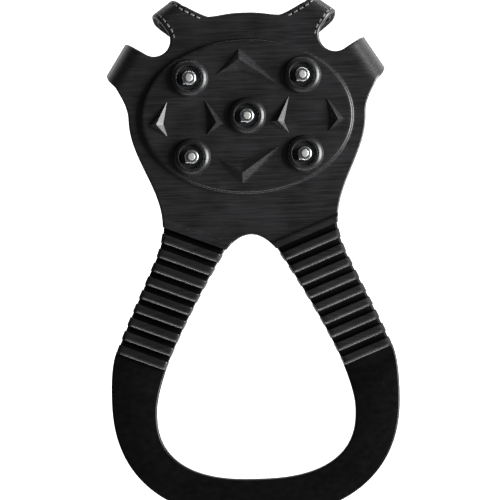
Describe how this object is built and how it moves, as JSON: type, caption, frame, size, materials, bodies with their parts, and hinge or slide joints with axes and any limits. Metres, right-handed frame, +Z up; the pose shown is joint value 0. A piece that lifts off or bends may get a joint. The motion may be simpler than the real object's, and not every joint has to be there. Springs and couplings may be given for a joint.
{
  "type": "shoe ice cleats",
  "caption": "Slip-on rubber heel cleat: a studded plate with front hooks and side tabs, ribbed straps, and a loop that goes round the back of the shoe",
  "frame": {"origin": "on the table under the middle of the whole length and width, with the cleat lying on its back", "axes": "+Z up, away from the shoe, the way the studs point; +Y from the loop to the hooks; +X to the right as seen from the stud side with the hooks at the top"},
  "size_m": [0.0814, 0.146, 0.0132],
  "materials": {
    "rubber": "moulded black rubber, satin",
    "plated_steel": "bright zinc plated steel",
    "carbide": "ground carbide, matt grey"
  },
  "bodies": {
    "plate": {"heel_plate": "rubber", "insert_center": "plated_steel", "insert_front_left": "plated_steel", "insert_front_right": "plated_steel", "insert_rear_left": "plated_steel", "insert_rear_right": "plated_steel", "spike_center": "plated_steel", "spike_front_left": "plated_steel", "spike_front_right": "plated_steel", "spike_rear_left": "plated_steel", "spike_rear_right": "plated_steel", "pin_center": "carbide", "pin_front_left": "carbide", "pin_front_right": "carbide", "pin_rear_left": "carbide", "pin_rear_right": "carbide"},
    "straps": {"strap_left": "rubber", "strap_right": "rubber"},
    "loop": {"heel_loop": "rubber"}
  },
  "joints": [
    {"name": "strap_flex", "type": "hinge", "parent": "plate", "child": "straps", "pos_m": [0, 0.0059, 0.006], "axis": [1, 0, 0], "range_deg": [-15, 80], "stiffness_Nm_per_rad": 0.03},
    {"name": "loop_flex", "type": "hinge", "parent": "straps", "child": "loop", "pos_m": [0, -0.0283, 0], "axis": [1, 0, 0], "range_deg": [-8, 60], "stiffness_Nm_per_rad": 0.02}
  ]
}
